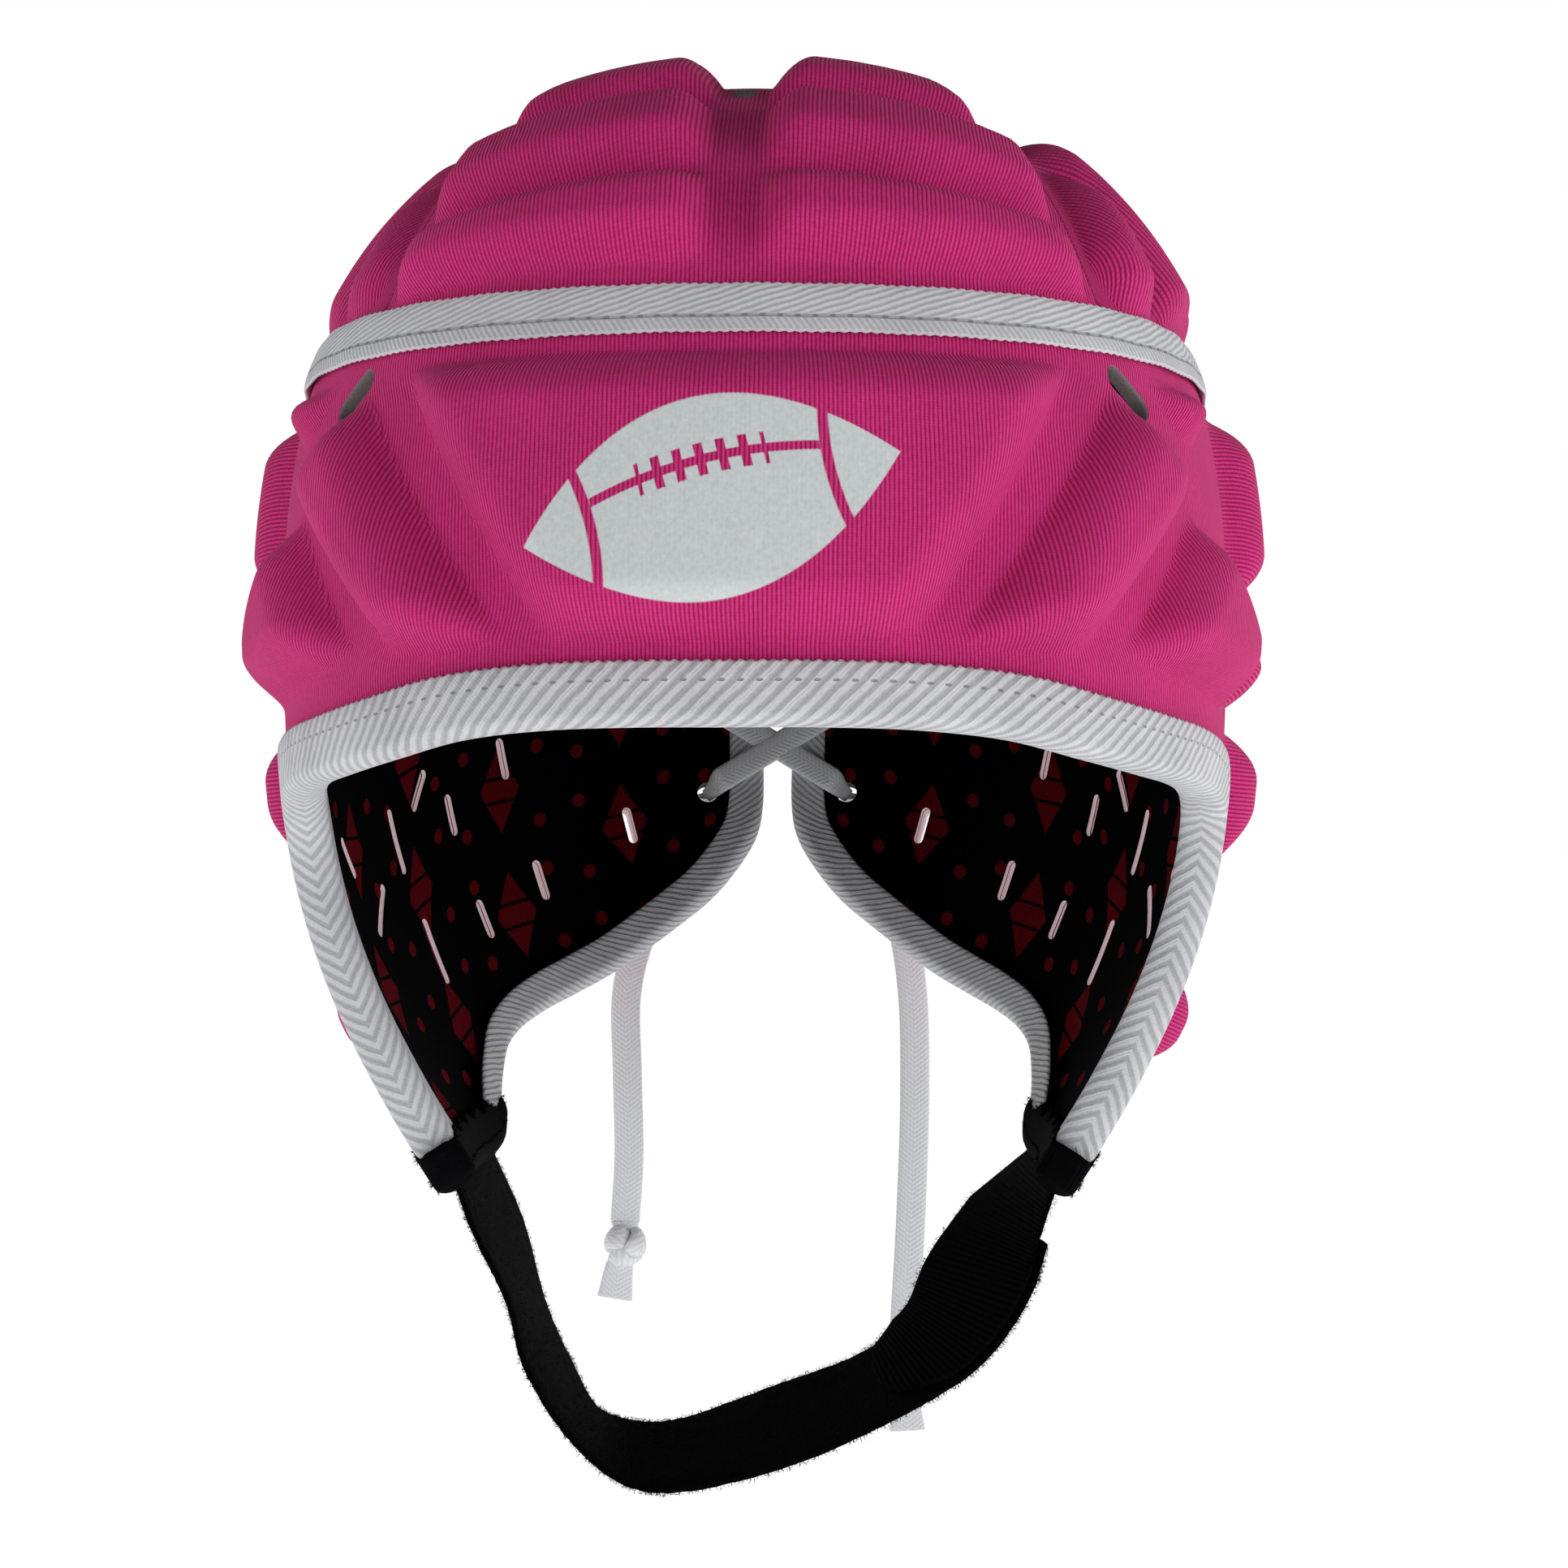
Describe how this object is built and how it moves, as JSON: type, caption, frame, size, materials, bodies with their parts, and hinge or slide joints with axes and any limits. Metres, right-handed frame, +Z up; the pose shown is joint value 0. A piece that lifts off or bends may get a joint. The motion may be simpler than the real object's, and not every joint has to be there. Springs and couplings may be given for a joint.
{
  "type": "rugby scrum cap",
  "caption": "Padded sports head guard: foam pads under pink rib knit, white binding tape, black chin strap and a laced slit at the back.",
  "frame": {"origin": "inner top of the crown, where the wearer's head touches the lining", "axes": "+Z up out of the crown, -Y to the wearer's front, +X to the wearer's left and the viewer's right when seen from the front"},
  "size_m": [0.201, 0.2364, 0.2928],
  "materials": {
    "pink_knit": "matt rib knit over foam",
    "dark_lining": "matt, printed",
    "white_tape": "twill, matt",
    "white_lace": "flat braid, matt",
    "black_webbing": "soft loop pile"
  },
  "bodies": {
    "root": {"crown_centre": "pink_knit", "crown_side_left": "pink_knit", "crown_side_right": "pink_knit", "front_panel": "pink_knit", "side_panel_left": "pink_knit", "side_panel_right": "pink_knit", "lining_crown_centre": "dark_lining", "lining_crown_left": "dark_lining", "lining_crown_right": "dark_lining", "lining_front": "dark_lining", "lining_left": "dark_lining", "lining_right": "dark_lining", "crown_tape": "white_tape", "face_hem": "white_tape", "neck_hem_left": "white_tape", "neck_hem_right": "white_tape", "chin_strap": "black_webbing", "hook_tab": "black_webbing", "lacing": "white_lace", "lace_end_left": "white_lace", "lace_end_right": "white_lace", "lace_knot_left": "white_lace", "lace_knot_right": "white_lace"}
  },
  "joints": []
}
